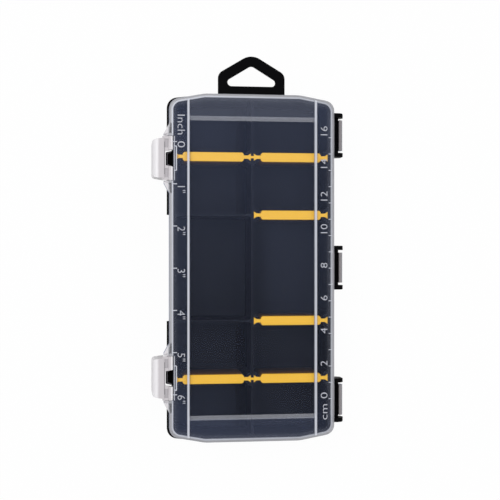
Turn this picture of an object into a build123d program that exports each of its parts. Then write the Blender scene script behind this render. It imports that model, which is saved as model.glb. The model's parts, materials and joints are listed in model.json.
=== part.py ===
from build123d import *
from math import cos, radians, tan
import os

# A pocket tackle box: a moulded tray with a hang tab, a clear hinged lid that carries two snap
# latches, and six lift-out dividers. Millimetres. +X is the hinge side, +Y the hang-tab end and
# +Z up. The origin is on the underside, below the middle of the lid, with the lid shut.

# Overall
box_width = 101.4          # across the lid
box_length = 211.6         # along the lid
box_height = 35.0          # underside to the top of the lid's rails
end_flat = 58.0            # straight middle stretch of each end
end_slope = 10.5           # degrees that an end falls back on each side of its flat
corner_radius = 6.5        # four corners, in plan
shoulder_radius = 22.0     # where an end's flat turns into its slope

# Lid
lid_height = 7.0           # bottom of the skirt to the top of the rails
lid_wall = 1.4             # skirt
lid_sheet = 1.2            # top panel
skirt_draft = 1.0          # degrees
lid_edge_radius = 1.6      # outside, top edge
rail_height = 0.6          # rails above the ruler strips
rail_width = 1.7
ruler_strip = 11.8         # lid's edge to the middle of a rail
panel_recess = 1.1         # middle panel below the ruler strips
end_strip = 15.1           # lid's end to the middle of the cross step
step_width = 2.4           # sloped cross step at each end of the panel
seat_gap = 0.1             # skirt above the tray's ledge

# Tray
tray_gap = 0.8             # inside of the skirt to the tray's wall
tray_wall = 1.6
tray_draft = 1.2           # degrees, outside only
floor_thickness = 1.2
centre_wall = 1.5          # wall along the middle, and the two fixed cross walls
panel_gap = 0.3            # top of the walls to the underside of the lid's panel
inner_radius = 1.5         # moulded corners inside a compartment
floor_radius = 1.2         # and its floor edges
scoop_radius = 7.0         # finger scoop along the centre wall
ledge_thickness = 1.8      # ledge that the lid's skirt sits on
latch_ledge = 1.2          # ledge beyond the skirt on the latch side
grip_length = 64.6         # stretch where that ledge is cut back for a fingertip
grip_depth = 2.7           # how far it is cut back from its own edge
foot_height = 1.8          # more than the lid's rails stand above its panel
foot_width = 3.0
stack_gap = 0.6            # foot ring inside the lid panel of the box below

# Divider rows
end_bay = 34.4             # inner face of an end to the outer row
middle_bay = 64.6          # between the two inner rows
divider_width = 5.6
divider_wall = 1.2
divider_chamfer = 1.0
divider_gap = 0.25         # divider to wall at each end, and above the floor
key_neck = 2.0             # width of the neck of an end key
key_neck_length = 2.6
key_head = 4.3             # width of the key at its end
key_head_length = 1.7
slot_gap = 0.2             # key to slot
pillar_radius = 4.5        # round slot pillar on the centre wall
boss_depth = 3.3           # slot boss on an outer wall
boss_root = 10.8           # its width at the wall
boss_front = 6.2           # its width at the front

# Hinge: rods on the tray, open hooks on the lid
hinge_end = 23.6           # lid's end to the middle of the outer bracket
rod_radius = 1.7
rod_gap = 0.08             # rod to hook, all round
rod_offset = 2.6           # rod's axis outside the lid's edge
rod_drop = 4.0             # rod's axis below the seat
hook_wall = 2.4
hook_length = 18.7
hook_mouth = 3.0           # opening that snaps over the rod
bracket_length = 27.2
ear_thickness = 2.7
ear_radius = 4.5
ear_corner = 1.2           # bracket's outer corners, in plan

# Latches on the lid, catches on the tray
latch_end = 39.5           # lid's end to the middle of a latch
latch_plate = 26.4         # length of the hinged plate
latch_length = 24.4        # length of the finger pull beside the plate
latch_tip = 22.4           # and at its outside
latch_reach = 10.3         # lid's edge to the outside of the pull
latch_lean = 0.6           # pull's lower edge beyond its top
pull_start = 3.1           # lid's edge to the inside of the pull
pull_wall = 1.6
latch_top = 0.1            # latch below the top of the rails
latch_sheet = 1.9
latch_step = 0.5           # plate below the top of the pull and of its own knuckle
latch_drop = 19.0          # height of the pull
latch_round = 3.6          # outside radius along the top of the pull
latch_corner = 2.2         # outside radius in plan
pocket_depth = 0.7         # moulding pockets in the plate
pocket_in = 6.3            # middle of the latch to a pocket
pocket_out = 11.6
latch_axis_in = 0.7        # latch axis inside the lid's edge
knuckle_radius = 1.7
latch_pin_radius = 0.8
latch_pin_gap = 0.08
latch_pin_length = 1.3
latch_side_gap = 0.3       # plate to cheek, and plate to lid
cheek_thickness = 1.5
cheek_reach = 3.2          # cheek beyond the lid's edge
wing_length = 7.2          # wing along the skirt, outside the cheek
wing_thickness = 1.3
notch_length = 14.5        # notch in the ruler strip beside the latch
notch_depth = 1.5
window_in = 10.6           # length of the window at the lid
window_out = 8.6           # and at the pull
catch_reach = 1.7          # catch beyond the lid's edge
catch_root = 10.4          # its length at the wall
catch_tip = 8.2            # and at the tip
catch_height = 4.0
catch_drop = 0.6           # top of the catch below the seat
catch_wall = 1.0
catch_pocket = 2.6
barb_length = 7.6
barb_thickness = 1.9
barb_bite = 0.8            # barb under the catch
barb_gap = 0.4             # below the catch
arm_gap = 0.6              # catch to the latch's spring arm
arm_thickness = 1.5
catch_clear = 16.0         # stretch of ledge left out round a catch

# Hang tab
tab_width = 41.2
tab_reach = 24.0           # beyond the lid's edge
tab_thickness = 2.6
tab_slope = 31.0           # degrees
tab_apex_radius = 10.0
tab_shoulder_radius = 5.0
tab_edge = 0.5
hole_start = 5.6           # lid's edge to the hole
hole_height = 12.8
hole_width = 41.8          # before its corners are rounded
hole_radius = 2.4
hole_apex_radius = 3.0

# Places that follow from those sizes
half_width = box_width / 2
half_length = box_length / 2
seat = box_height - lid_height
strip_top = box_height - rail_height
panel_top = strip_top - panel_recess
wall_top = panel_top - lid_sheet - panel_gap
floor_top = foot_height + floor_thickness
tray_inset = lid_wall + tray_gap
inner_inset = tray_inset + tray_wall
inner_half_width = half_width - inner_inset
rail_x = half_width - ruler_strip
step_y = half_length - end_strip
outer_row = half_length - inner_inset - end_bay
bay_x = (inner_half_width + centre_wall / 2) / 2
divider_end = (inner_half_width - centre_wall / 2) / 2 - divider_gap
divider_body = divider_end - key_head_length - key_neck_length
inner_row = middle_bay / 2
hinge_y = half_length - hinge_end
rod_x = half_width + rod_offset
rod_z = seat - rod_drop
latch_y = half_length - latch_end
latch_x = -(half_width - latch_axis_in)
latch_z = box_height - latch_top - knuckle_radius
catch_x = -(half_width + catch_reach)
catch_top = seat - catch_drop
catch_bottom = catch_top - catch_height
cut = 60.0                 # longer than anything that a cutter has to clear


def block(x, y, z):
    """A box between two corners, given as (low, high) along each axis."""
    size = [high - low for low, high in (x, y, z)]
    middle = [(high + low) / 2 for low, high in (x, y, z)]
    return Pos(*middle) * Box(*size)


def prism(face, low, high, taper=0.0):
    """A plan face raised from one height to another."""
    return extrude(Pos(0, 0, low) * face, amount=high - low, dir=(0, 0, 1), taper=taper)


def bar(points, y_low, y_high):
    """A profile of (x, z) points, drawn out along Y."""
    face = make_face(Polyline(*[(x, y_low, z) for x, z in points], close=True))
    return extrude(face, amount=y_high - y_low, dir=(0, 1, 0))


def rod(radius, x, z, y_low, y_high):
    """A round bar along Y."""
    return Pos(x, (y_low + y_high) / 2, z) * Rot(90, 0, 0) * Cylinder(radius, y_high - y_low)


def box_plan(inset, ledge=0.0):
    """The box seen from above, drawn in all round. A ledge widens its latch side alone."""
    corner_y = half_length - (half_width - end_flat / 2) * tan(radians(end_slope))
    hinge_side = [(half_width, -corner_y), (half_width, corner_y)]
    latch_side = [(-half_width - ledge, corner_y + ledge), (-half_width - ledge, -corner_y - ledge)]
    tab_end = [(end_flat / 2, half_length), (-end_flat / 2, half_length)]
    far_end = [(-x, -y) for x, y in tab_end]
    face = make_face(Polyline(*hinge_side, *tab_end, *latch_side, *far_end, close=True))
    face = fillet(face.vertices().filter_by(lambda v: abs(v.X) > end_flat / 2 + 1), corner_radius)
    shoulders = face.vertices().filter_by(lambda v: abs(abs(v.Y) - half_length) < 0.01)
    face = fillet(shoulders, shoulder_radius)
    return offset(face, -inset) if inset else face


# ---------------------------------------------------------------- dividers

def divider_plan(spare=0.0):
    """A divider seen from above: a body with a necked key at each end, grown by a clearance."""
    neck_x = divider_end - key_head_length
    side = divider_width / 2
    quarter = [
        (divider_body - divider_chamfer, side),
        (divider_body, side - divider_chamfer),
        (divider_body, key_neck / 2),
        (neck_x, key_neck / 2),
        (divider_end, key_head / 2),
    ]
    back = quarter[::-1]
    right = quarter + [(x, -y) for x, y in back]
    left = [(-x, -y) for x, y in quarter] + [(-x, y) for x, y in back]
    face = make_face(Polyline(*right, *left, close=True))
    return offset(face, spare, kind=Kind.INTERSECTION) if spare else face


divider_bottom = floor_top + divider_gap
divider_top = wall_top
divider_places = {
    "divider_latch_side_1": (-bay_x, outer_row),
    "divider_latch_side_2": (-bay_x, -outer_row),
    "divider_hinge_side_1": (bay_x, outer_row),
    "divider_hinge_side_2": (bay_x, inner_row),
    "divider_hinge_side_3": (bay_x, -inner_row),
    "divider_hinge_side_4": (bay_x, -outer_row),
}


def make_divider():
    """A hollow divider, open underneath, that drops into its two slots by its end keys."""
    body = prism(divider_plan(), divider_bottom, divider_top)
    rim = body.faces().sort_by(Axis.Z)[-1].edges().filter_by(lambda e: e.length > 20)
    body = fillet(rim, 0.4)
    hollow_x = divider_body - divider_wall
    hollow_y = divider_width / 2 - divider_wall
    hollow_z = (divider_bottom - 1, divider_top - divider_wall)
    return body - block((-hollow_x, hollow_x), (-hollow_y, hollow_y), hollow_z)


# ---------------------------------------------------------------- tray

def compartment(x, y):
    """The space between the walls in a stretch of the tray, with moulded corners."""
    region = box_plan(inner_inset) & block(x, y, (-1, 1))
    walls = [abs(v) for v in (*x, *y)]
    meets_wall = lambda v: any(abs(abs(place) - wall) < 0.01 for place in (v.X, v.Y) for wall in walls)
    region = fillet(region.vertices().filter_by(meets_wall), inner_radius)
    space = prism(region, floor_top, wall_top + 1)
    return fillet(space.faces().sort_by(Axis.Z)[0].edges(), floor_radius)


def scoop(y_low, y_high):
    """A hollow curve from the floor up the centre wall, for a fingertip."""
    wall = centre_wall / 2
    x, z = -wall - scoop_radius, floor_top + scoop_radius
    corner = block((x, -wall + 0.2), (y_low, y_high), (floor_top - 0.2, z))
    return corner - rod(scoop_radius, x, z, y_low - 1, y_high + 1)


def slot_pillar(y, both_sides):
    """The round pillar on the centre wall that holds one or two divider keys."""
    pillar = prism(Pos(0, y) * Circle(pillar_radius), floor_top - 0.2, wall_top)
    return pillar if both_sides else pillar & block((0, cut), (y - cut, y + cut), (0, cut))


def slot_boss(side, y):
    """The tapered boss on an outer wall that holds a divider key. side is 1 or -1."""
    root_x = side * (inner_half_width + tray_wall / 2)
    front_x = side * (inner_half_width - boss_depth)
    root = [(root_x, -boss_root / 2), (root_x, boss_root / 2)]
    front = [(front_x, boss_front / 2), (front_x, -boss_front / 2)]
    face = make_face(Polyline(*root, *front, close=True))
    return prism(Pos(0, y) * face, floor_top - 0.2, wall_top)


def ledge():
    """The ledge under the lid's skirt, open at the hooks and catches and cut back for a finger."""
    top = seat - seat_gap
    z = (top - ledge_thickness, top)
    ring = prism(box_plan(0, latch_ledge), *z)
    grip_x = -(half_width + latch_ledge - grip_depth)
    ring -= block((-half_width - cut, grip_x), (-grip_length / 2, grip_length / 2), (0, cut))
    for y in (-hinge_y, 0, hinge_y):
        gap = bracket_length / 2 - ear_thickness
        ring -= block((inner_half_width, half_width + cut), (y - gap, y + gap), (0, cut))
    for y in (-latch_y, latch_y):
        gap = catch_clear / 2
        ring -= block((-half_width - cut, -inner_half_width), (y - gap, y + gap), (0, cut))
    return ring


def foot():
    """The ring and centre rib that the box stands on, sized to sit in the panel of a lid below."""
    x = rail_x - rail_width / 2 - stack_gap
    y = step_y - step_width / 2 - stack_gap
    ring = RectangleRounded(2 * x, 2 * y, foot_width)
    ring -= Rectangle(2 * (x - foot_width), 2 * (y - foot_width))
    ring += Rectangle(foot_width, 2 * (y - foot_width / 2))
    return prism(ring, 0, foot_height)


def hinge_bracket(y):
    """Two ears on the tray's wall with a rod between them."""
    wall_x = inner_half_width + tray_wall / 2
    reach = bracket_length / 2
    bracket = rod(rod_radius, rod_x, rod_z, y - reach + 0.5, y + reach - 0.5)
    for low in (y - reach, y + reach - ear_thickness):
        high = low + ear_thickness
        gusset = [
            (wall_x, seat - seat_gap),
            (half_width - 0.5, seat - seat_gap),
            (rod_x, rod_z),
            (rod_x, rod_z - ear_radius),
            (wall_x, rod_z - 2 * ear_radius),
        ]
        bracket += rod(ear_radius, rod_x, rod_z, low, high) + bar(gusset, low, high)
    plan = RectangleRounded(2 * cut, bracket_length, ear_corner)
    return bracket & prism(Pos(rod_x + ear_radius - cut, y) * plan, 0, cut)


def catch(y):
    """The hollow tongue on the tray's wall that a latch hooks under."""
    wall_x = -(half_width - tray_inset)
    outline = [(wall_x + 0.8, catch_root / 2), (catch_x, catch_tip / 2)]
    inside = [
        (wall_x - 0.4, catch_root / 2 - catch_wall),
        (catch_x + catch_wall, catch_tip / 2 - catch_wall),
    ]
    block_face, pocket_face = [
        make_face(Polyline(*points, *[(x, -y) for x, y in points[::-1]], close=True))
        for points in (outline, inside)
    ]
    tongue = prism(block_face, catch_bottom, catch_top)
    lead_in = tongue.faces().sort_by(Axis.X)[0].edges().sort_by(Axis.Z)[-1]
    tongue = chamfer(lead_in, 0.6)
    return Pos(0, y) * (tongue - prism(pocket_face, catch_top - catch_pocket, cut))


def hang_tab():
    """The flat eye that the box hangs by, level with the ledge."""
    side = tab_width / 2
    rise = tan(radians(tab_slope))
    apex_y = half_length + tab_reach + tab_apex_radius * (1 / cos(radians(tab_slope)) - 1)
    start = half_length - tray_inset - 0.5
    shoulder_y = apex_y - side * rise
    right = [(side, start), (side, shoulder_y)]
    left = [(-side, shoulder_y), (-side, start)]
    plate = make_face(Polyline(*right, (0, apex_y), *left, close=True))
    shoulders = plate.vertices().filter_by(lambda v: v.Y > start + 1 and abs(v.X) > 1)
    plate = fillet(shoulders, tab_shoulder_radius)
    plate = fillet(plate.vertices().filter_by(lambda v: abs(v.X) < 0.01), tab_apex_radius)
    hole_y = half_length + hole_start
    ends = [(hole_width / 2, hole_y), (-hole_width / 2, hole_y)]
    hole = make_face(Polyline(*ends, (0, hole_y + hole_height), close=True))
    hole = fillet(hole.vertices().sort_by(Axis.Y)[:2], hole_radius)
    hole = fillet(hole.vertices().sort_by(Axis.Y)[-1], hole_apex_radius)
    top = seat - seat_gap
    tab = prism(plate - hole, top - tab_thickness, top)
    rims = tab.faces().sort_by(Axis.Z)[-1].edges() + tab.faces().sort_by(Axis.Z)[0].edges()
    return chamfer(rims.filter_by(lambda e: e.center().Y > start + 0.1), tab_edge)


def make_tray():
    """The tray: tapered walls, floor, compartments, slots, hinge brackets, catches and hang tab."""
    outside = box_plan(tray_inset)
    tray = extrude(Pos(0, 0, seat) * outside, amount=seat - foot_height, dir=(0, 0, -1), taper=tray_draft)
    tray += prism(outside, seat, wall_top) + ledge() + foot() + hang_tab()
    for y in (-hinge_y, 0, hinge_y):
        tray += hinge_bracket(y)
    for y in (-latch_y, latch_y):
        tray += catch(y)
    wall = centre_wall / 2
    rows = [-cut * 3, -inner_row, inner_row, cut * 3]
    for low, high in zip(rows, rows[1:]):
        tray -= compartment((-cut * 2, -wall), (low + wall, high - wall))
    tray -= compartment((wall, cut * 2), (-cut * 3, cut * 3))
    end = half_length - inner_inset
    tray += scoop(inner_row + wall - 0.1, end + 0.1) + scoop(-end - 0.1, -inner_row - wall + 0.1)
    for y in (-outer_row, -inner_row, inner_row, outer_row):
        tray += slot_pillar(y, both_sides=abs(y) == outer_row) + slot_boss(1, y)
    for y in (-outer_row, outer_row):
        tray += slot_boss(-1, y)
    slot = prism(divider_plan(slot_gap), floor_top, wall_top + 1)
    for x, y in divider_places.values():
        tray -= Pos(x, y) * slot
    return tray


# ---------------------------------------------------------------- lid

def hook(y):
    """The open ring under the lid's edge that snaps over a rod and turns on it."""
    low, high = y - hook_length / 2, y + hook_length / 2
    bore = rod_radius + rod_gap
    outside = bore + hook_wall
    leg = block((rod_x - outside, half_width), (low, high), (rod_z, seat + 1))
    mouth = block((rod_x - hook_mouth / 2, rod_x + hook_mouth / 2), (low - 1, high + 1), (rod_z, cut))
    ring = rod(outside, rod_x, rod_z, low, high) - mouth
    return ring + leg - rod(bore, rod_x, rod_z, low - 1, high + 1)


def panel_recess_cutter():
    """The sunk middle panel: level, with a sloped step at each end."""
    width = 2 * (rail_x - rail_width / 2)
    inner, outer = step_y - step_width / 2, step_y + step_width / 2
    slope = panel_recess / step_width
    points = [(inner, panel_top), (outer, strip_top), (outer + 1, strip_top + slope)]
    points += [(-y, z) for y, z in points[::-1]]
    face = make_face(Polyline(*[(-width / 2, y, z) for y, z in points], close=True))
    return extrude(face, amount=width, dir=(1, 0, 0))


bay_edge = latch_x + knuckle_radius + latch_side_gap
bay_half = latch_plate / 2 + latch_side_gap


def latch_bay(lid, y):
    """Cut the lid's edge open for a latch, and add the cheeks that hold its pins and their wings."""
    under = panel_top - lid_sheet
    notch = notch_length / 2
    lid -= block((-half_width - cut, bay_edge), (y - bay_half, y + bay_half), (0, cut))
    lid += block((bay_edge, bay_edge + lid_sheet), (y - bay_half, y + bay_half), (under, strip_top - 0.2))
    lid += block(
        (bay_edge, bay_edge + notch_depth + lid_sheet),
        (y - notch - lid_sheet, y + notch + lid_sheet),
        (under, strip_top - 0.2),
    )
    lid -= block((bay_edge - 1, bay_edge + notch_depth), (y - notch, y + notch), (panel_top, cut))
    outer_x = -(half_width + cheek_reach)
    skirt_x = -(half_width - lid_wall) + 0.3
    top = box_height - latch_top
    cheek_points = [
        (skirt_x, seat),
        (outer_x, seat),
        (outer_x, seat + lid_height / 2),
        (-half_width, top),
        (skirt_x, top),
    ]
    root_x = -(half_width - lid_wall / 2)
    run = wing_length * wing_thickness / (root_x - outer_x)
    for side in (-1, 1):
        near, far = sorted(y + side * place for place in (bay_half, bay_half + cheek_thickness))
        lid += bar(cheek_points, near, far)
        cheek_y = bay_half + cheek_thickness
        wing = [
            (outer_x, cheek_y - 0.5),
            (outer_x, cheek_y),
            (root_x, cheek_y + wing_length),
            (root_x, cheek_y + wing_length - run),
            (outer_x + wing_thickness, cheek_y - 0.5),
        ]
        face = make_face(Polyline(*[(x, y + side * along) for x, along in wing], close=True))
        lid += prism(face, seat, strip_top - 0.6)
        lid -= rod(latch_pin_radius + latch_pin_gap, latch_x, latch_z, near - 1, far + 1)
    return lid


def make_lid():
    """The clear lid: skirt, sunk panel, rails, latch bays and hooks."""
    outside = prism(box_plan(0), seat, strip_top, taper=skirt_draft)
    outside = fillet(outside.faces().sort_by(Axis.Z)[-1].edges(), lid_edge_radius)
    lid = outside - prism(box_plan(lid_wall), seat - 0.001, strip_top - lid_sheet, taper=skirt_draft)
    panel_y = step_y + step_width / 2
    panel_z = (panel_top - lid_sheet, strip_top - lid_sheet + 0.1)
    lid += block((-rail_x, rail_x), (-panel_y, panel_y), panel_z)
    lid -= panel_recess_cutter()
    rim = prism(box_plan(lid_edge_radius), 0, box_height)
    for x in (-rail_x, rail_x):
        rail_span = (x - rail_width / 2, x + rail_width / 2)
        rail = block(rail_span, (-half_length, half_length), (strip_top - 0.3, box_height))
        lid += rail & rim
    for y in (-latch_y, latch_y):
        lid = latch_bay(lid, y)
    for y in (-hinge_y, 0, hinge_y):
        lid += hook(y)
    return lid


# ---------------------------------------------------------------- latches

def make_latch(y):
    """A snap latch: hinged plate, hollow finger pull, and a spring arm with a barb."""
    top = box_height - latch_top
    pull_x = -(half_width + pull_start)
    outer_x = -(half_width + latch_reach)
    bottom = top - latch_drop
    ends = (y - latch_plate / 2, y + latch_plate / 2)
    plate_top = top - latch_step
    latch = block((pull_x - 1, latch_x), ends, (top - latch_sheet, plate_top))
    latch += rod(knuckle_radius, latch_x, latch_z, *ends)

    profile = [(pull_x, top), (outer_x + latch_lean, top), (outer_x, bottom), (pull_x, bottom)]
    side = make_face(Polyline(*[(x, y - cut, z) for x, z in profile], close=True))
    side = fillet(side.vertices().sort_by(Axis.Z)[-2:].sort_by(Axis.X)[0], latch_round)
    plan = [(pull_x, latch_length / 2), (outer_x, latch_tip / 2)]
    plan = make_face(Polyline(*plan, *[(x, -along) for x, along in plan[::-1]], close=True))
    plan = fillet(plan.vertices().sort_by(Axis.X)[:2], latch_corner)
    pull = extrude(side, amount=2 * cut, dir=(0, 1, 0)) & prism(Pos(0, y) * plan, bottom, top)
    inner = [
        (cut, bottom - 1),
        (cut, top - latch_sheet),
        (outer_x + latch_lean + pull_wall, top - latch_sheet),
        (outer_x + pull_wall, bottom - 1),
    ]
    hollow_y = (latch_length + latch_tip) / 4 - pull_wall
    hollow = bar(inner, y - hollow_y, y + hollow_y)
    corner = hollow.edges().filter_by(Axis.Y).sort_by(Axis.Z)[-2:].sort_by(Axis.X)[0]
    latch += pull - fillet(corner, latch_round - pull_wall)

    arm_x = catch_x - arm_gap
    arm_y = (y - barb_length / 2, y + barb_length / 2)
    barb_top = catch_bottom - barb_gap
    barb = [
        (arm_x - arm_thickness, top - latch_sheet + 0.2),
        (arm_x, top - latch_sheet + 0.2),
        (arm_x, barb_top),
        (catch_x + barb_bite, barb_top),
        (arm_x, barb_top - barb_thickness),
        (arm_x - arm_thickness, barb_top - barb_thickness),
    ]
    latch += bar(barb, *arm_y)

    pocket_end = latch_x - knuckle_radius + 0.4
    window = [(bay_edge, window_in / 2), (arm_x, window_out / 2)]
    window = make_face(Polyline(*window, *[(x, -along) for x, along in window[::-1]], close=True))
    latch -= Pos(0, y) * prism(window, latch_z - cut, cut)
    for side in (-1, 1):
        pocket = sorted(y + side * place for place in (pocket_in, pocket_out))
        latch -= block((pull_x + 0.4, pocket_end), pocket, (plate_top - pocket_depth, cut))
        end = y + side * latch_plate / 2
        pin = sorted((end - side, end + side * (latch_side_gap + latch_pin_length)))
        latch += rod(latch_pin_radius, latch_x, latch_z, *pin)
    return latch


# ---------------------------------------------------------------- parts

parts = {"tray": make_tray(), "lid": make_lid()}
parts["latch_tab_end"] = make_latch(latch_y)
parts["latch_far_end"] = make_latch(-latch_y)
divider = make_divider()
for name, (x, y) in divider_places.items():
    parts[name] = Pos(x, y) * divider

os.makedirs("parts", exist_ok=True)
for name, shape in parts.items():
    export_step(shape, f"parts/{name}.step")
    print(name, "solids", len(shape.solids()), "volume", round(shape.volume, 1), "valid", shape.is_valid)
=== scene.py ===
# %% [markdown]
# # A pocket tackle box
#
# The box is a black moulded tray with a clear lid over it. Six yellow dividers show through the
# lid, and two milky latches hang on its edge. The tray, lid, latches and dividers come from the
# CAD model at their real size. This notebook gives them their finishes, adds the ruler marks that
# are moulded on the lid and two small forms, and sets up the light and the camera.

# %% Load the model
import json
import math

import bmesh
import bpy
from mathutils import Matrix, Vector


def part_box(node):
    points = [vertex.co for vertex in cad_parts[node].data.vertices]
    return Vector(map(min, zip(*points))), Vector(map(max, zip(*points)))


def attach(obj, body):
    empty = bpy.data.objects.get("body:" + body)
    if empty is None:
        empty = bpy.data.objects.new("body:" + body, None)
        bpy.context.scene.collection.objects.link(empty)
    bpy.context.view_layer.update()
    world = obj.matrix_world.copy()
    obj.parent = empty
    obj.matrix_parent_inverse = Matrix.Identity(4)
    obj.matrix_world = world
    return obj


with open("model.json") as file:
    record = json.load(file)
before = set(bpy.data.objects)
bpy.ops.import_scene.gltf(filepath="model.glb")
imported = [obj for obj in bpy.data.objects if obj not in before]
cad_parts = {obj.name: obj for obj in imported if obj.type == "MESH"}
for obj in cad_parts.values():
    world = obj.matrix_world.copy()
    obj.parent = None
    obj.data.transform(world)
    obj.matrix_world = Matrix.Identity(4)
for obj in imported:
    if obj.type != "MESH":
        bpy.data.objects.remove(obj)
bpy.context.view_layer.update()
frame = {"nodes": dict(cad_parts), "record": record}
MM = 0.001
lid_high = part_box("lid")[1]
print("nodes:", ", ".join(sorted(frame["nodes"])))
print("lid top at", round(lid_high.z / MM, 2), "mm")

# %% [markdown]
# ## Writing shader maths as Python
#
# A material is a graph of nodes, and a mask such as "within 3 mm of the edge" takes a dozen of
# them. Placing each one by hand hides the idea, so a small class wraps an output socket and
# overloads the operators. An expression on wires then adds its own Math nodes, and one method adds
# any other node.

# %% A wire in a material
ARITHMETIC = {
    "add": "ADD",
    "sub": "SUBTRACT",
    "mul": "MULTIPLY",
    "truediv": "DIVIDE",
    "pow": "POWER",
}


class Wire:
    """An output socket of a material's node tree, with arithmetic."""

    def __init__(self, tree, socket=None):
        self.tree = tree
        self.socket = socket

    def node(self, kind, settings=None, inputs=None, out=0):
        """Adds a node. Its settings go first, then the values or links of its sockets."""
        made = self.tree.nodes.new(kind)
        for name, value in (settings or {}).items():
            setattr(made, name, value)
        for name, value in (inputs or {}).items():
            if isinstance(value, Wire):
                self.tree.links.new(value.socket, made.inputs[name])
            else:
                made.inputs[name].default_value = value
        return Wire(self.tree, made.outputs[out])

    def math(self, operation, *values, clamp=False):
        settings = {"operation": operation, "use_clamp": clamp}
        return self.node("ShaderNodeMath", settings, dict(enumerate(values)))

    def minimum(self, other):
        return self.math("MINIMUM", self, other)

    def maximum(self, other):
        return self.math("MAXIMUM", self, other)

    def absolute(self):
        return self.math("ABSOLUTE", self)

    def ramp(self, low, high):
        """0 below low and 1 above high, smooth between. low may be the larger."""
        scaled = (self - low) / (high - low)
        soft = self.math("MULTIPLY_ADD", scaled, 1.0, 0.0, clamp=True)
        return soft * soft * (3 - 2 * soft)


def add_operators(name, operation):
    def forward(self, other):
        return self.math(operation, self, other)

    def reflected(self, other):
        return self.math(operation, other, self)

    setattr(Wire, f"__{name}__", forward)
    setattr(Wire, f"__r{name}__", reflected)


for name, operation in ARITHMETIC.items():
    add_operators(name, operation)

# %% [markdown]
# Every finish starts the same way: an empty material, and a wire to hang its nodes on. Places come
# from Object coordinates. Each piece's object sits at the origin, so these are the box's own
# coordinates in metres, and a pattern stays put when the lid swings open.

# %% Start a material
NORMAL = 1  # outputs of a Texture Coordinate node
OBJECT_PLACE = 3


def new_material(name):
    """An empty material: its node tree's starting wire, and the material."""
    made = bpy.data.materials.new(name)
    made.use_nodes = True
    made.node_tree.nodes.clear()
    return Wire(made.node_tree), made


def set_surface(wire, shader):
    output = wire.tree.nodes.new("ShaderNodeOutputMaterial")
    wire.tree.links.new(shader.socket, output.inputs["Surface"])


def place_in_mm(wire):
    """The point being shaded, as X, Y and Z wires in millimetres."""
    point = wire.node("ShaderNodeTexCoord", out=OBJECT_PLACE)
    split = wire.node("ShaderNodeSeparateXYZ", inputs={0: point}).socket.node
    return [Wire(wire.tree, split.outputs[axis]) * (1 / MM) for axis in range(3)]


def slope_of(wire):
    """How far a surface leans from level: 0 is flat and 1 is upright."""
    normal = wire.node("ShaderNodeTexCoord", out=NORMAL)
    split = wire.node("ShaderNodeSeparateXYZ", inputs={0: normal}).socket.node
    return 1 - Wire(wire.tree, split.outputs[2]).absolute()


def noise(wire, size_mm, detail=2.0, roughness=0.5):
    """Cloudy noise from 0 to 1, with lumps of about the size given."""
    inputs = {
        "Vector": wire.node("ShaderNodeTexCoord", out=OBJECT_PLACE),
        "Scale": 1 / (size_mm * MM),
        "Detail": detail,
        "Roughness": roughness,
    }
    return wire.node("ShaderNodeTexNoise", inputs=inputs)


def mix_colours(wire, factor, first, second):
    """One colour changing to another by a factor from 0 to 1."""
    inputs = {0: factor, 6: first, 7: second}
    return wire.node("ShaderNodeMix", {"data_type": "RGBA"}, inputs, out=2)


def rgb(red, green, blue):
    """A colour written as 0 to 255, as the linear values that a shader takes."""
    values = [channel / 255 for channel in (red, green, blue)]
    linear = [v / 12.92 if v <= 0.04045 else ((v + 0.055) / 1.055) ** 2.4 for v in values]
    return (*linear, 1.0)


# %% [markdown]
# ## Black polypropylene
#
# The tray is moulded in black polypropylene with a fine spark-eroded grain. On such a plastic the
# colour hardly changes, and what the eye reads is the gloss: it is broken up by the grain, and a
# little smoother where hands and tackle have rubbed it. So the grain drives a Bump node, and a slow
# cloudiness drives the roughness. The floor and the tops of the walls are painted a shade lighter,
# a painted sheen for the light that these level faces catch. The rims of the two catches are
# painted paler still, a painted highlight where their edges catch the light.

# %% The tray's finish
FLOOR_Z = 3.0
WALL_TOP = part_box("divider_latch_side_1")[1].z / MM
CATCH_TOP = 27.4
CATCH_X = -48.9
BLACK = rgb(3, 3, 4)
BLACK_CLOUDED = rgb(6, 6, 8)
BLACK_PAINTED_SHEEN = rgb(24, 26, 32)
CATCH_RIM_HIGHLIGHT = rgb(126, 123, 129)
GRAIN_DEPTH = 0.02 * MM


def near(value, middle, reach, soft=0.2):
    """1 where a value is within reach of a middle, and 0 away from it."""
    return (value - middle).absolute().ramp(reach + soft, reach - soft)


def grain_bump(wire, grain, strength):
    inputs = {"Strength": strength, "Distance": GRAIN_DEPTH, "Height": grain}
    return wire.node("ShaderNodeBump", inputs=inputs)


def black_plastic():
    wire, made = new_material("black_polypropylene")
    grain = noise(wire, 0.35, detail=1.0)
    cloud = noise(wire, 14.0, detail=4.0, roughness=0.6)
    colour = mix_colours(wire, cloud, BLACK, BLACK_CLOUDED)
    x, y, z = place_in_mm(wire)
    # Painted sheen: the level floor and the tops of the walls are painted a shade lighter.
    painted_sheen = near(z, FLOOR_Z, 0.04, 0.03).maximum(near(z, WALL_TOP, 0.05, 0.03))
    colour = mix_colours(wire, painted_sheen, colour, BLACK_PAINTED_SHEEN)
    # Painted highlight: the rims of the two catches are painted paler.
    catch_highlight = near(z, CATCH_TOP, 0.05, 0.04) * x.ramp(CATCH_X, CATCH_X - 0.3)
    inputs = {
        "Base Color": mix_colours(wire, catch_highlight, colour, CATCH_RIM_HIGHLIGHT),
        "Roughness": 0.4 + cloud * 0.08,
        "Specular IOR Level": 0.022,
        "Normal": grain_bump(wire, grain, 0.03),
    }
    set_surface(wire, wire.node("ShaderNodeBsdfPrincipled", inputs=inputs))
    return made
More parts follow.
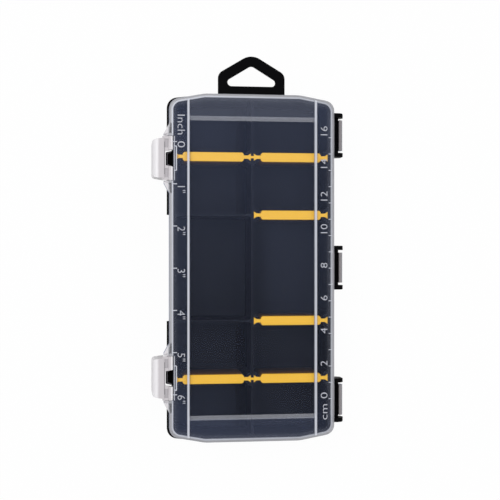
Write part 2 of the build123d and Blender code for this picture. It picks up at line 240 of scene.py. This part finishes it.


# %% [markdown]
# ## Clear lid
#
# The lid is clear polypropylene, which is never as clear as glass. A level sheet of it shows a
# faint blue haze and a reflection of the room. Anywhere the light meets an edge, a corner or a
# step, the plastic scatters and looks white. A refracting glass shader would have to find that
# white by tracing light along the inside of the sheet, which takes thousands of samples. Here the
# haze is painted on: the Alpha of a milky shader says how much of the sheet scatters.
#
# There are two hazes. The thin one covers the same small share of the whole sheet, and its blue is
# painted brighter or darker from place to place: it holds a painted reflection of the room, and is
# painted brighter towards the tab end and on the strips as a painted reflection of the lamps. The
# thick one is white, a painted highlight. It grows on slopes, rails and steps, at the notches and
# wings, and in a band along the rim that is brighter on the side facing the lamp. The outermost
# edge and the hinge hooks are painted greyer, as painted shade. Beside each latch wing the sheet
# turns down out of the light, and a short gap there stays dark.

# %% Where the lid's rim is
END_FLAT = 29.0
END_ANGLE = math.radians(10.5)
RIM_CORNER = 6.5
HALF_WIDTH = 50.7
HALF_LENGTH = lid_high.y / MM


def distance_to_rim(x, y):
    """How far inside the lid's outline a point is, in mm, with the corners rounded."""
    past_flat = (x.absolute() - END_FLAT).maximum(0)
    from_side = HALF_WIDTH - x.absolute()
    from_end = HALF_LENGTH - y.absolute() - past_flat * math.tan(END_ANGLE)
    from_end = from_end * math.cos(END_ANGLE)
    side_in = (RIM_CORNER - from_side).maximum(0)
    end_in = (RIM_CORNER - from_end).maximum(0)
    in_corner = RIM_CORNER - (side_in * side_in + end_in * end_in) ** 0.5
    straight = from_side.minimum(from_end)
    both_in = side_in * end_in
    is_corner = both_in.math("GREATER_THAN", both_in, 0.0)
    return straight + (in_corner - straight) * is_corner


# %% Where the rails, steps, notches and hooks are
RAIL_X = HALF_WIDTH - 11.8
RAIL_WIDTH = 1.22
RAIL_SHIFT = 0.12
STEP_Y = HALF_LENGTH - 15.1
STEP_WIDTH = 2.4
LATCH_Y = HALF_LENGTH - 39.5
NOTCH_X = -46.35
NOTCH_HALF = 7.25
BAY_X = -47.6
BAY_HALF = 13.2
WING_X = -(HALF_WIDTH + 0.3)
HOOK_X = HALF_WIDTH + 0.2
GAP_X = -49.6
GAP_WIDTH = 0.9
GAP_MIDDLE = 18.0
GAP_LENGTH = 6.0


def notch_line(x, y):
    """The painted highlight along the edge of the notch in the ruler strip beside each latch."""
    along = (y.absolute() - LATCH_Y).absolute()
    back = near(x, NOTCH_X, 0.3, 0.15) * along.ramp(NOTCH_HALF + 0.3, NOTCH_HALF)
    ends = near(along, NOTCH_HALF, 0.3, 0.15) * near(x, NOTCH_X - 0.7, 0.7)
    bay = near(x, BAY_X, 0.3, 0.15) * along.ramp(BAY_HALF + 0.2, BAY_HALF) * 0.6
    return back.maximum(ends).maximum(bay)


# %% [markdown]
# The next two tables say what each part of the lid adds. In the first it is the brightness of the
# haze and its painted reflection, on a sheet that scatters a fixed small share of the light. In the
# second it is the share that scatters white, as painted highlights.

# %% The thin blue haze and its painted reflection
THIN_HAZE = 0.035
BLUE_WITH_REFLECTION = rgb(176, 194, 247)
HAZE_AND_PAINTED_REFLECTION = {
    "everywhere": 0.0078,
    "cloud": 0.004,
    "tab_end": 0.016,
    "latch_side_corners": 0.004,
    "hinge_side_middle": 0.005,
    "latch_side_strip": 0.009,
    "strip_ends": 0.014,
    "end_strips": 0.022,
    "tab_end_strip": 0.014,
}


def on_end_strips(y):
    return y.absolute().ramp(STEP_Y, STEP_Y + 1)


def thin_glow(wire, x, y, between_rails):
    """How bright the thin haze and its painted reflection are, from 0 to THIN_HAZE."""
    cloud = noise(wire, 30.0, detail=3.0)
    # Painted reflection: the haze is painted brighter towards the tab end, in the corners, on the
    # strips and on the end strips.
    haze_and_reflection = HAZE_AND_PAINTED_REFLECTION["everywhere"] + cloud * HAZE_AND_PAINTED_REFLECTION["cloud"] + y.ramp(-40, 110) * HAZE_AND_PAINTED_REFLECTION["tab_end"]
    haze_and_reflection = haze_and_reflection + x.ramp(-4, -24) * y.absolute().ramp(55, 80) * HAZE_AND_PAINTED_REFLECTION["latch_side_corners"]
    haze_and_reflection = haze_and_reflection + x.ramp(2, 14) * y.absolute().ramp(34, 22) * HAZE_AND_PAINTED_REFLECTION["hinge_side_middle"]
    strips = x.ramp(-RAIL_X, -RAIL_X - 0.5) * HAZE_AND_PAINTED_REFLECTION["latch_side_strip"]
    strips = strips + y.absolute().ramp(60, 105) * HAZE_AND_PAINTED_REFLECTION["strip_ends"]
    ends = on_end_strips(y) * (HAZE_AND_PAINTED_REFLECTION["end_strips"] + y.ramp(-60, 100) * HAZE_AND_PAINTED_REFLECTION["tab_end_strip"])
    return haze_and_reflection + strips + (ends - strips) * between_rails


# %% The thick white haze, a painted highlight
WHITE = {
    "rails": 0.7,
    "steps": 0.15,
    "step_edges": 0.09,
    "rim": 0.28,
    "rim_to_lamp": 0.25,
    "rim_latch_side": 0.12,
    "rim_line": 0.14,
    "rim_glow": 0.022,
    "outer_edge": 0.2,
    "slopes": 0.1,
    "notches": 0.8,
    "hooks": 0.6,
    "wings": 0.3,
    "end_strips": 0.003,
    "tab_end_strip": 0.018,
}


def white_of_rim(x, y, rim, edge):
    """The painted white band along the rim, brighter on the side that faces the lamp."""
    band = rim.ramp(2.6, 2.2)
    to_lamp = (y * 0.3 - x).ramp(-60, 60) * WHITE["rim_to_lamp"]
    latch_side = (y * 0.5 - x).ramp(60, 95) * WHITE["rim_latch_side"]
    line = rim.ramp(1.3, 1.7) * WHITE["rim_line"]
    white = band * (WHITE["rim"] + to_lamp + latch_side + line)
    return white + rim.ramp(6.5, 2.4) * WHITE["rim_glow"] + edge * WHITE["outer_edge"]


def white_of_panel(x, y, rim, between_rails):
    """The painted white of the rails, the steps and the strips past them."""
    rail_line = (x + RAIL_SHIFT).absolute()
    rails = near(rail_line, RAIL_X + RAIL_SHIFT, RAIL_WIDTH / 2, 0.25) * rim.ramp(1.0, 1.6)
    steps = near(y.absolute(), STEP_Y, STEP_WIDTH / 2) * x.absolute().ramp(RAIL_X, RAIL_X - 0.6)
    step_edges = near((y.absolute() - STEP_Y).absolute(), STEP_WIDTH / 2, 0.2) * steps
    white = rails * WHITE["rails"] + steps * WHITE["steps"] + step_edges * WHITE["step_edges"]
    ends = WHITE["end_strips"] + y.ramp(-60, 100) * WHITE["tab_end_strip"]
    return white + on_end_strips(y) * between_rails * ends


# %% The lid's finish
MILK = rgb(212, 214, 222)
MILK_EDGE_SHADE = rgb(176, 176, 181)
MILK_WING = rgb(224, 221, 224)
MILK_HOOK_SHADE = rgb(142, 137, 139)
SHEEN = rgb(125, 136, 165)


def clear_plastic():
    wire, made = new_material("clear_polypropylene")
    x, y = place_in_mm(wire)[:2]
    rim = distance_to_rim(x, y)
    between_rails = x.absolute().ramp(RAIL_X + 0.3, RAIL_X)
    edge = rim.ramp(1.7, 1.4)
    hooks = x.ramp(HOOK_X, HOOK_X + 0.4)
    wings = x.ramp(WING_X, WING_X - 0.4)
    along = (y.absolute() - LATCH_Y).absolute()
    gap = near(x, GAP_X, GAP_WIDTH / 2, 0.15) * near(along, GAP_MIDDLE, GAP_LENGTH / 2, 0.6)
    thick = white_of_panel(x, y, rim, between_rails) + white_of_rim(x, y, rim, edge)
    thick = thick + slope_of(wire).ramp(0.02, 0.2) * WHITE["slopes"]
    thick = thick + notch_line(x, y) * WHITE["notches"]
    thick = thick + hooks * WHITE["hooks"] + wings * WHITE["wings"]
    haze_and_reflection = thin_glow(wire, x, y, between_rails)
    blue = mix_colours(wire, haze_and_reflection / THIN_HAZE, rgb(0, 0, 0), BLUE_WITH_REFLECTION)
    milk = mix_colours(wire, thick / (thick + THIN_HAZE), blue, MILK)
    # Painted shade: the outermost edge of the lid is painted greyer.
    milk = mix_colours(wire, edge * (1 - wings), milk, MILK_EDGE_SHADE)
    milk = mix_colours(wire, wings, milk, MILK_WING)
    # Painted shade: the hinge hooks are painted grey.
    inputs = {
        "Base Color": mix_colours(wire, hooks, milk, MILK_HOOK_SHADE),
        "Roughness": 0.35,
        "Alpha": (THIN_HAZE + thick).minimum(0.9) * (1 - gap * 0.75),
    }
    milky = wire.node("ShaderNodeBsdfPrincipled", inputs=inputs)
    facing = wire.node("ShaderNodeLayerWeight", inputs={"Blend": 0.5}, out=1)
    gloss = wire.node("ShaderNodeBsdfGlossy", inputs={"Color": SHEEN, "Roughness": 0.42})
    inputs = {0: 0.9 * facing ** 5, 1: milky, 2: gloss}
    set_surface(wire, wire.node("ShaderNodeMixShader", inputs=inputs))
    return made


# %% [markdown]
# ## Milky latches and yellow dividers
#
# The latches are the same plastic as the lid, but thick and folded, so they read as milky white.
# Their hollows carry painted shade: the pocket and the groove behind each pull, the plate between
# the pull and the knuckle, and the steep sides are painted greyer. The dividers are opaque yellow
# polypropylene with a satin face, and their sides carry painted shade that deepens towards the
# tray's floor.

# %% The latches' and dividers' finishes
PULL_MIDDLE = -57.5
GROOVE_X = -53.5
KNUCKLE_X = -49.8
POCKET_END = 9.6
POCKET_Z = 33.7
LATCH_MILK = rgb(243, 240, 242)
LATCH_CLOUDED = rgb(249, 247, 249)
LATCH_HOLLOW_SHADE = rgb(201, 196, 199)
LATCH_POCKET_SHADE = rgb(176, 172, 176)
LATCH_GROOVE_SHADE = rgb(146, 142, 146)
YELLOW = rgb(248, 189, 14)
YELLOW_CLOUDED = rgb(252, 198, 34)
YELLOW_SIDE_SHADE = rgb(130, 86, 14)
YELLOW_DEEP_SHADE = rgb(66, 44, 12)


def latch_plastic():
    wire, made = new_material("milky_polypropylene")
    x, y, z = place_in_mm(wire)
    slope = slope_of(wire)
    cloud = noise(wire, 6.0, detail=3.0)
    milk = mix_colours(wire, cloud, LATCH_MILK, LATCH_CLOUDED)
    # Painted shade: the plate over the hollow, the steep sides, the pocket and the groove are
    # painted greyer.
    over_hollow = x.ramp(PULL_MIDDLE - 1, PULL_MIDDLE + 1)
    over_plate = x.ramp(GROOVE_X - 0.1, GROOVE_X)
    knuckle = x.ramp(KNUCKLE_X, KNUCKLE_X + 0.4)
    along = (y.absolute() - LATCH_Y).absolute()
    groove_shade = near(x, GROOVE_X, 0.25) * along.ramp(POCKET_END + 0.3, POCKET_END)
    shaded = (over_hollow * (1 - knuckle)).maximum(slope.ramp(0.5, 1.0) * 0.4)
    milk = mix_colours(wire, shaded, milk, LATCH_HOLLOW_SHADE)
    pocket_shade = near(z, POCKET_Z, 0.1) * over_plate
    milk = mix_colours(wire, pocket_shade, milk, LATCH_POCKET_SHADE)
    inputs = {
        "Base Color": mix_colours(wire, groove_shade, milk, LATCH_GROOVE_SHADE),
        "Roughness": 0.3 + cloud * 0.1,
        "Alpha": 0.96,
    }
    set_surface(wire, wire.node("ShaderNodeBsdfPrincipled", inputs=inputs))
    return made


def yellow_plastic():
    wire, made = new_material("yellow_polypropylene")
    cloud = noise(wire, 9.0, detail=3.0)
    grain = noise(wire, 0.4, detail=2.0)
    face = mix_colours(wire, cloud, YELLOW, YELLOW_CLOUDED)
    depth = WALL_TOP - place_in_mm(wire)[2]
    # Painted shade: the sides are painted darker below the top edge, deepening towards the floor.
    side = mix_colours(wire, depth.ramp(3, 20), YELLOW_SIDE_SHADE, YELLOW_DEEP_SHADE)
    inputs = {
        "Base Color": mix_colours(wire, depth.ramp(0.2, 4), face, side),
        "Roughness": 0.4 + cloud * 0.1,
        "Normal": grain_bump(wire, grain, 0.15),
    }
    set_surface(wire, wire.node("ShaderNodeBsdfPrincipled", inputs=inputs))
    return made


# %% The ruler marks' finish, and every finish on its CAD nodes
MARKS_MILK = rgb(200, 202, 212)
MARKS_CLOUDED = rgb(215, 217, 226)


def marks_plastic(name, alpha):
    wire, made = new_material(name)
    cloud = noise(wire, 3.0)
    inputs = {
        "Base Color": mix_colours(wire, cloud, MARKS_MILK, MARKS_CLOUDED),
        "Roughness": 0.5,
        "Alpha": alpha,
    }
    set_surface(wire, wire.node("ShaderNodeBsdfPrincipled", inputs=inputs))
    return made


finishes = {
    "black_plastic": black_plastic(),
    "clear_plastic": clear_plastic(),
    "latch_plastic": latch_plastic(),
    "yellow_plastic": yellow_plastic(),
}
tick_finish = marks_plastic("raised_ticks", 0.8)
letter_finish = marks_plastic("raised_letters", 0.6)
for part in frame["record"]["subparts"]:
    material = finishes[part["material_slot"]]
    mesh = frame["nodes"][part["node"]].data
    mesh.materials.clear()
    mesh.materials.append(material)
print("finishes:", ", ".join(finishes))

# %% [markdown]
# ## Ruler marks on the lid
#
# Both long edges of the lid are rulers, one in inches and one in centimetres. On the real lid the
# strokes stand out from the sheet by a hair, and they show because their sides scatter the light.
# Small raised bars and letters do the same here.

# %% Measures of the two rulers
STRIP_TOP = lid_high.z - 0.6 * MM
MARK_HEIGHT = 0.12 * MM
MARK_SINK = 0.03 * MM
MARK_DEPTH = MARK_HEIGHT + MARK_SINK
MARK_MIDDLE = STRIP_TOP + (MARK_HEIGHT - MARK_SINK) / 2
TICK_WIDTH = 0.55 * MM
INCH = 25.4 * MM
CENTIMETRE = 10 * MM
INCH_ZERO = 76.2 * MM
CENTIMETRE_ZERO = -80.2 * MM
LETTER_HEIGHT = 4.6 * MM
LETTER_THINNING = -0.04 * MM
CAPITAL_SHARE = 0.7  # a capital's height over the font's size
WELD = 0.001 * MM


# %% Helpers that make a piece from bars and letters
def close_piece(name, bm, body, material):
    """Turns a bmesh into a welded piece that rides on a body, its faces outward."""
    bmesh.ops.remove_doubles(bm, verts=bm.verts, dist=WELD)
    bmesh.ops.recalc_face_normals(bm, faces=bm.faces)
    mesh = bpy.data.meshes.new(name)
    bm.to_mesh(mesh)
    bm.free()
    piece = bpy.data.objects.new(name, mesh)
    bpy.context.scene.collection.objects.link(piece)
    mesh.materials.clear()
    mesh.materials.append(material)
    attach(piece, body)
    print(name, "has", len(mesh.polygons), "faces")


def add_bar(bm, x, y, length, width):
    """A raised bar across a ruler's edge, with its top edges softened."""
    size = Matrix.Diagonal((length, width, MARK_DEPTH, 1))
    middle = Vector((x, y, MARK_MIDDLE))
    made = bmesh.ops.create_cube(bm, size=1, matrix=Matrix.Translation(middle) @ size)
    top = [e for e in bm.edges if e.verts[0] in made["verts"] and e.verts[1] in made["verts"]]
    top = [e for e in top if min(v.co.z for v in e.verts) > STRIP_TOP]
    bmesh.ops.bevel(
        bm, geom=top, offset=MARK_HEIGHT * 0.4, segments=1, profile=0.5, affect="EDGES", material=-1
    )


def add_text(bm, words, x, y, quarter_turns, stretch=1.0, height=LETTER_HEIGHT):
    """Raised letters on the strip. Their middle height is at x, and they start at y."""
    curve = bpy.data.curves.new("letters", "FONT")
    curve.body = words
    curve.size = height / CAPITAL_SHARE
    curve.extrude = MARK_DEPTH / 2
    curve.offset = LETTER_THINNING
    curve.resolution_u = 3
    curve.align_x = "LEFT"
    text = bpy.data.objects.new("letters", curve)
    bpy.context.scene.collection.objects.link(text)
    bpy.context.view_layer.update()
    graph = bpy.context.evaluated_depsgraph_get()
    mesh = bpy.data.meshes.new_from_object(text.evaluated_get(graph))
    turn = Matrix.Rotation(quarter_turns * math.pi / 2, 4, "Z")
    wider = Matrix.Diagonal((stretch, 1, 1, 1))
    centre = Matrix.Translation((0, -height / 2, 0))
    mesh.transform(Matrix.Translation((x, y, MARK_MIDDLE)) @ turn @ wider @ centre)
    bm.from_mesh(mesh)
    bpy.data.objects.remove(text)
    bpy.data.meshes.remove(mesh)


def close_marks(name, bm, finish):
    """Makes the marks one piece on the lid."""
    close_piece(name, bm, "lid_body", finish)


# %% [markdown]
# The inch scale runs down the latch side from zero at the hang-tab end, and is read with that side
# held towards you. The centimetre scale runs the other way along the hinge side, so its letters
# are turned the other way.

# %% The inch ruler
INCH_TICK = 3.2 * MM
INCH_TICK_OUTER = 49.2 * MM
INCH_LETTERS_X = -43.4 * MM
INCH_LAST = 6
INCH_WORD_START = INCH_ZERO + 16.9 * MM
ZERO_START = INCH_ZERO + 0.6 * MM
NUMERAL_STRETCH = 1.02
ZERO_STRETCH = 1.35
WORD_STRETCH = 1.18
inch_marks = bmesh.new()
inch_letters = bmesh.new()
for count in range(INCH_LAST + 1):
    y = INCH_ZERO - count * INCH
    add_bar(inch_marks, -(INCH_TICK_OUTER - INCH_TICK / 2), y, INCH_TICK, TICK_WIDTH)
    if count:
        add_text(inch_letters, f'{count}"', INCH_LETTERS_X, y, -1, NUMERAL_STRETCH)
add_text(inch_letters, "0", INCH_LETTERS_X, ZERO_START, -1, ZERO_STRETCH)
add_text(inch_letters, "Inch", INCH_LETTERS_X, INCH_WORD_START, -1, WORD_STRETCH)
close_marks("inch_ticks", inch_marks, tick_finish)
close_marks("inch_numerals", inch_letters, letter_finish)

# %% The centimetre ruler
CENTIMETRE_TICK = 1.8 * MM
CENTIMETRE_TICK_OUTER = 48.6 * MM
CENTIMETRE_LETTERS_X = 43.9 * MM
CENTIMETRE_HEIGHT = 4.3 * MM
CENTIMETRE_LAST = 16
CENTIMETRE_WORD_START = CENTIMETRE_ZERO - 13.2 * MM
CENTIMETRE_SHIFT = -0.1 * MM
CENTIMETRE_STRETCH = 1.2
CENTIMETRE_WORD_STRETCH = 1.4
centimetre_marks = bmesh.new()
centimetre_letters = bmesh.new()


def add_centimetre_text(words, y, stretch):
    add_text(centimetre_letters, words, CENTIMETRE_LETTERS_X, y, 1, stretch, CENTIMETRE_HEIGHT)


for count in range(CENTIMETRE_LAST + 1):
    y = CENTIMETRE_ZERO + count * CENTIMETRE
    x = CENTIMETRE_TICK_OUTER - CENTIMETRE_TICK / 2
    add_bar(centimetre_marks, x, y, CENTIMETRE_TICK, TICK_WIDTH * 0.8)
    if count % 2 == 0:
        stretch = CENTIMETRE_STRETCH if count else CENTIMETRE_WORD_STRETCH
        add_centimetre_text(str(count), y + CENTIMETRE_SHIFT, stretch)
add_centimetre_text("cm", CENTIMETRE_WORD_START, CENTIMETRE_WORD_STRETCH)
close_marks("centimetre_ticks", centimetre_marks, tick_finish)
close_marks("centimetre_numerals", centimetre_letters, letter_finish)

# %% [markdown]
# ## Small forms that finish the outline
#
# Two small things on the real box aren't in the CAD model. The wing beside each latch cheek is a
# web that reaches back to the skirt, and the keys of two dividers in one row meet over the centre
# wall. Both are flat plates: a few corner points make the plan, and the plan is extruded.

# %% A flat plate from its corners
def add_plate(bm, corners, low, high, soft):
    """A plate with its plan given by corners, from low to high, with a soft top edge."""
    plan = bm.faces.new([bm.verts.new((x, y, low)) for x, y in corners])
    raised = bmesh.ops.extrude_face_region(bm, geom=[plan], use_keep_orig=True)["geom"]
    top = [part for part in raised if isinstance(part, bmesh.types.BMVert)]
    bmesh.ops.translate(bm, vec=(0, 0, high - low), verts=top)
    edges = [part for part in raised if isinstance(part, bmesh.types.BMEdge)]
    bmesh.ops.bevel(
        bm, geom=edges, offset=soft, segments=2, profile=0.5, affect="EDGES", material=-1
    )


# %% The webs of the latch wings
SKIRT_X = -50.62 * MM
WEB_OUTER_X = -52.9 * MM
WEB_START = 14.9 * MM
WEB_END = 19.6 * MM
WEB_LOW = 28.4 * MM
WEB_HIGH = lid_high.z - 1.25 * MM
WEB_SOFT = 0.15 * MM
webs = bmesh.new()
for latch_y in (-LATCH_Y * MM, LATCH_Y * MM):
    for side in (-1, 1):
        near_y, far_y = latch_y + side * WEB_START, latch_y + side * WEB_END
        corners = [(WEB_OUTER_X, near_y), (SKIRT_X, near_y), (SKIRT_X, far_y)]
        add_plate(webs, corners, WEB_LOW, WEB_HIGH, WEB_SOFT)
close_piece("wing_webs", webs, "lid_body", finishes["clear_plastic"])

# %% The key tips over the centre wall
TIP_LENGTH = 1.25 * MM
TIP_HALF = 0.72 * MM
TIP_GAP = 0.01 * MM
TIP_LOW = (WALL_TOP + 0.01) * MM
TIP_HIGH = (WALL_TOP + 0.12) * MM
TIP_SOFT = 0.04 * MM
tips = bmesh.new()
for number in (1, 2):
    low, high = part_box(f"divider_latch_side_{number}")
    row = (low.y + high.y) / 2
    for side in (-1, 1):
        inner, outer = side * TIP_GAP, side * TIP_LENGTH
        ends = [(inner, row - TIP_HALF), (outer, row - TIP_HALF)]
        corners = ends + [(x, 2 * row - y) for x, y in ends[::-1]]
        add_plate(tips, corners, TIP_LOW, TIP_HIGH, TIP_SOFT)
close_piece("key_tips", tips, "base", finishes["yellow_plastic"])

# %% [markdown]
# ## Floor, light and camera
#
# The box lies on a plain white floor under two large soft lamps, with a white room all round. The
# floor's material shows white to the camera and still takes a faint shadow: Light Path tells a
# material what kind of ray has met it, so the light that the floor throws on the box stays plain.

# %% The white floor
def seen_directly(wire):
    """1 for rays from the camera or through a mirror or a clear sheet, and 0 for the rest."""
    path = wire.node("ShaderNodeLightPath").socket.node
    kinds = ("Is Camera Ray", "Is Glossy Ray", "Is Transmission Ray")
    camera_ray, glossy_ray, clear_ray = [Wire(wire.tree, path.outputs[kind]) for kind in kinds]
    return camera_ray.maximum(glossy_ray).maximum(clear_ray)


WHITE_LIGHT = (1, 1, 1, 1)
FLOOR_PAINT = rgb(235, 235, 236)
FLOOR_SHOWN_WHITE = 0.97  # the rest takes the shadow


def floor_material():
    wire, made = new_material("floor_white")
    paint = wire.node("ShaderNodeBsdfDiffuse", inputs={"Color": FLOOR_PAINT})
    white = wire.node("ShaderNodeEmission", inputs={"Color": WHITE_LIGHT, "Strength": 1.0})
    share = seen_directly(wire) * FLOOR_SHOWN_WHITE
    set_surface(wire, wire.node("ShaderNodeMixShader", inputs={0: share, 1: paint, 2: white}))
    return made


FLOOR_SIZE = 6.0
FLOOR_DROP = 0.2 * MM
floor_bm = bmesh.new()
bmesh.ops.create_grid(floor_bm, x_segments=1, y_segments=1, size=FLOOR_SIZE / 2)
floor_mesh = bpy.data.meshes.new("floor")
floor_bm.to_mesh(floor_mesh)
floor_bm.free()
floor_mesh.materials.append(floor_material())
floor = bpy.data.objects.new("floor", floor_mesh)
bpy.context.scene.collection.objects.link(floor)
floor.location.z = -FLOOR_DROP

# %% The room and its lamps
ROOM_LIGHT = 0.38
ROOM_TINT = (0.97, 0.98, 1, 1)
LIT_POINT = Vector((0, 0, 0.03))
world = bpy.data.worlds.new("room")
world.use_nodes = True
world.node_tree.nodes.clear()
room = Wire(world.node_tree)
white = room.node("ShaderNodeBackground", inputs={"Color": WHITE_LIGHT, "Strength": 1.0})
grey = room.node("ShaderNodeBackground", inputs={"Color": ROOM_TINT, "Strength": ROOM_LIGHT})
shown = room.node("ShaderNodeMixShader", inputs={0: seen_directly(room), 1: grey, 2: white})
output = world.node_tree.nodes.new("ShaderNodeOutputWorld")
world.node_tree.links.new(shown.socket, output.inputs["Surface"])
bpy.context.scene.world = world


def soft_lamp(name, place, size, watts):
    """A square area lamp that looks at the box."""
    data = bpy.data.lights.new(name, "AREA")
    data.shape = "SQUARE"
    data.size = size
    data.energy = watts
    lamp = bpy.data.objects.new(name, data)
    bpy.context.scene.collection.objects.link(lamp)
    lamp.location = place
    lamp.rotation_euler = (LIT_POINT - Vector(place)).to_track_quat("-Z", "Y").to_euler()


soft_lamp("key", (-0.55, 0.3, 1.3), size=0.8, watts=10)
soft_lamp("fill", (0.7, -0.1, 1.2), size=0.9, watts=5)

# %% [markdown]
# The camera looks almost straight down from 0.6 m, tilted 7 degrees so that it sees a little of
# the latch side. A long lens keeps the sides from spreading.

# %% The camera
CAMERA_DISTANCE = 0.6
CAMERA_TILT = math.radians(7)
LENS_MM = 71.09
AIM = Vector((-1.72 * MM, 10.94 * MM, lid_high.z - 1 * MM))
camera_data = bpy.data.cameras.new("camera")
camera_data.sensor_width = 36
camera_data.lens = LENS_MM
camera = bpy.data.objects.new("camera", camera_data)
bpy.context.scene.collection.objects.link(camera)
backwards = Vector((-math.sin(CAMERA_TILT), 0, math.cos(CAMERA_TILT)))
camera.location = AIM + CAMERA_DISTANCE * backwards
camera.rotation_euler = (0, -CAMERA_TILT, 0)
bpy.context.scene.camera = camera
bpy.context.scene.view_settings.view_transform = "Standard"
